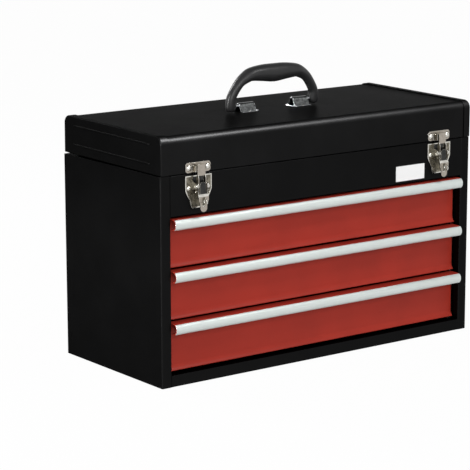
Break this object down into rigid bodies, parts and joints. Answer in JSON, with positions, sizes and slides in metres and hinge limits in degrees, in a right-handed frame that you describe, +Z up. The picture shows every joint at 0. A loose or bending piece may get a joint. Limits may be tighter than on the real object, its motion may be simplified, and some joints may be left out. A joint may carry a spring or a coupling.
{
  "type": "portable tool box with drawers",
  "caption": "Portable steel tool box: hinged lid over a top compartment, drawers on ball slides, draw latches and a folding carrying handle.",
  "frame": {"origin": "middle of the flat underside of the cabinet", "axes": "+X to the right seen from the front, +Y to the back (hinge side), +Z up through the lid"},
  "size_m": [0.5124, 0.2452, 0.3783],
  "materials": {
    "black_paint": "satin black powder coat",
    "red_paint": "satin red powder coat",
    "bright_trim": "bright anodised strip",
    "zinc_steel": "zinc plated",
    "hinge_steel": "satin black paint",
    "pin_steel": "drawn wire",
    "latch_nickel": "nickel plated, tumbled",
    "bracket_chrome": "bright chrome plated",
    "grip_plastic": "satin moulded plastic"
  },
  "bodies": {
    "cabinet": {"side_panel_left": "black_paint", "side_panel_right": "black_paint", "back_panel": "black_paint", "bottom_pan": "black_paint", "front_panel": "black_paint", "compartment_floor": "black_paint", "slide_posts": "zinc_steel", "slide_channels": "zinc_steel", "hinge_body_leaf": "hinge_steel", "hinge_pin": "pin_steel", "latch_plates": "latch_nickel", "padlock_staples": "latch_nickel", "latch_pivots": "latch_nickel", "body_rivets": "latch_nickel"},
    "lid": {"lid_skin": "black_paint", "lid_cap_left": "black_paint", "lid_cap_right": "black_paint", "hinge_lid_leaf": "hinge_steel", "latch_keepers": "latch_nickel", "handle_brackets": "bracket_chrome", "lid_rivets": "latch_nickel"},
    "handle": {"handle_grip": "grip_plastic", "handle_pins": "pin_steel"},
    "drawer_1": {"drawer_tray_1": "black_paint", "drawer_front_1": "red_paint", "drawer_trim_1": "bright_trim", "slide_rails_1": "zinc_steel"},
    "cage_1": {"ball_cages_1": "zinc_steel", "slide_balls_1": "pin_steel"},
    "drawer_2": {"drawer_tray_2": "black_paint", "drawer_front_2": "red_paint", "drawer_trim_2": "bright_trim", "slide_rails_2": "zinc_steel"},
    "cage_2": {"ball_cages_2": "zinc_steel", "slide_balls_2": "pin_steel"},
    "drawer_3": {"drawer_tray_3": "black_paint", "drawer_front_3": "red_paint", "drawer_trim_3": "bright_trim", "slide_rails_3": "zinc_steel"},
    "cage_3": {"ball_cages_3": "zinc_steel", "slide_balls_3": "pin_steel"},
    "lever_left": {"latch_lever_left": "latch_nickel", "claw_pin_left": "latch_nickel"},
    "claw_left": {"latch_claw_left": "latch_nickel"},
    "lever_right": {"latch_lever_right": "latch_nickel", "claw_pin_right": "latch_nickel"},
    "claw_right": {"latch_claw_right": "latch_nickel"}
  },
  "joints": [
    {"name": "lid_hinge", "type": "hinge", "parent": "cabinet", "child": "lid", "pos_m": [0, 0.1125, 0.26975], "axis": [-1, 0, 0], "range_deg": [0, 95]},
    {"name": "handle_fold", "type": "hinge", "parent": "lid", "child": "handle", "pos_m": [0, -0.00241, 0.32618], "axis": [1, 0, 0], "range_deg": [-85, 79]},
    {"name": "drawer_slide_1", "type": "slide", "parent": "cabinet", "child": "drawer_1", "axis": [0, -1, 0], "range_m": [0, 0.13]},
    {"name": "cage_slide_1", "type": "slide", "parent": "cabinet", "child": "cage_1", "axis": [0, -1, 0], "range_m": [0, 0.065]},
    {"name": "drawer_slide_2", "type": "slide", "parent": "cabinet", "child": "drawer_2", "axis": [0, -1, 0], "range_m": [0, 0.13]},
    {"name": "cage_slide_2", "type": "slide", "parent": "cabinet", "child": "cage_2", "axis": [0, -1, 0], "range_m": [0, 0.065]},
    {"name": "drawer_slide_3", "type": "slide", "parent": "cabinet", "child": "drawer_3", "axis": [0, -1, 0], "range_m": [0, 0.13]},
    {"name": "cage_slide_3", "type": "slide", "parent": "cabinet", "child": "cage_3", "axis": [0, -1, 0], "range_m": [0, 0.065]},
    {"name": "lever_swing_left", "type": "hinge", "parent": "cabinet", "child": "lever_left", "pos_m": [-0.199, -0.1184, 0.2535], "axis": [-1, 0, 0], "range_deg": [0, 100]},
    {"name": "claw_swing_left", "type": "hinge", "parent": "lever_left", "child": "claw_left", "pos_m": [-0.199, -0.1176, 0.2465], "axis": [1, 0, 0], "range_deg": [0, 86]},
    {"name": "lever_swing_right", "type": "hinge", "parent": "cabinet", "child": "lever_right", "pos_m": [0.199, -0.1184, 0.2535], "axis": [-1, 0, 0], "range_deg": [0, 100]},
    {"name": "claw_swing_right", "type": "hinge", "parent": "lever_right", "child": "claw_right", "pos_m": [0.199, -0.1176, 0.2465], "axis": [1, 0, 0], "range_deg": [0, 86]}
  ],
  "couplings": [
    {"joint": "cage_slide_1", "follows": "drawer_slide_1", "ratio": 0.5},
    {"joint": "cage_slide_2", "follows": "drawer_slide_2", "ratio": 0.5},
    {"joint": "cage_slide_3", "follows": "drawer_slide_3", "ratio": 0.5},
    {"joint": "claw_swing_left", "follows": "lever_swing_left", "ratio": 0.86},
    {"joint": "claw_swing_right", "follows": "lever_swing_right", "ratio": 0.86}
  ]
}
